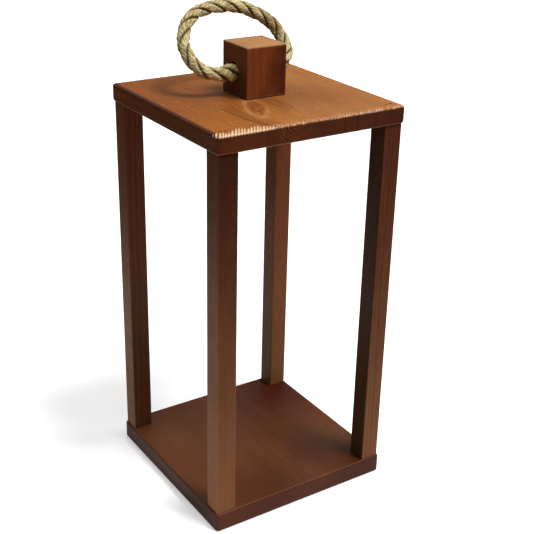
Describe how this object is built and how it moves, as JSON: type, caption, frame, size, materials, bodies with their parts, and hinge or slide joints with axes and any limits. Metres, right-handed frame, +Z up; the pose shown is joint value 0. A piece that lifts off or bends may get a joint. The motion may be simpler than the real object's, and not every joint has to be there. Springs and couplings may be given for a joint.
{
  "type": "hanging lantern",
  "caption": "Open square wooden candle lantern: a top and a base board on corner posts, with a bored block on top that carries a swinging rope handle.",
  "frame": {"origin": "middle of the base board's underside, on the surface the lantern stands on", "axes": "+Z up; +X along the bore of the handle block, which is the axis the rope handle swings about; -Y is the front, the face that shows the top board's end grain"},
  "size_m": [0.2, 0.2, 0.4795],
  "materials": {
    "stained_pine_boards": "brown-stained pine, satin varnish",
    "stained_pine_posts": "brown-stained pine strip, satin varnish",
    "stained_pine_block": "brown-stained pine, satin varnish, end grain up",
    "pin_steel": "dark finishing pin, stained over",
    "screw_steel": "zinc plated",
    "natural_rope": "three-strand natural fibre rope",
    "joint_tape": "cloth tape"
  },
  "bodies": {
    "lantern_frame": {"base_board": "stained_pine_boards", "top_board": "stained_pine_boards", "post_front_left": "stained_pine_posts", "post_front_right": "stained_pine_posts", "post_back_left": "stained_pine_posts", "post_back_right": "stained_pine_posts", "handle_block": "stained_pine_block", "top_pin_front_left_outer": "pin_steel", "top_pin_front_left_inner": "pin_steel", "top_pin_front_right_outer": "pin_steel", "top_pin_front_right_inner": "pin_steel", "top_pin_back_left_outer": "pin_steel", "top_pin_back_left_inner": "pin_steel", "top_pin_back_right_outer": "pin_steel", "top_pin_back_right_inner": "pin_steel", "base_screw_front_left": "screw_steel", "base_screw_front_right": "screw_steel", "base_screw_back_left": "screw_steel", "base_screw_back_right": "screw_steel", "block_screw_front": "screw_steel", "block_screw_back": "screw_steel"},
    "rope_handle": {"handle_rope": "natural_rope", "rope_joint_sleeve": "joint_tape"}
  },
  "joints": [
    {"name": "handle_swing", "type": "hinge", "parent": "lantern_frame", "child": "rope_handle", "pos_m": [0.002, 0.008, 0.4215], "axis": [1, 0, 0], "range_deg": [-62, 142]}
  ]
}
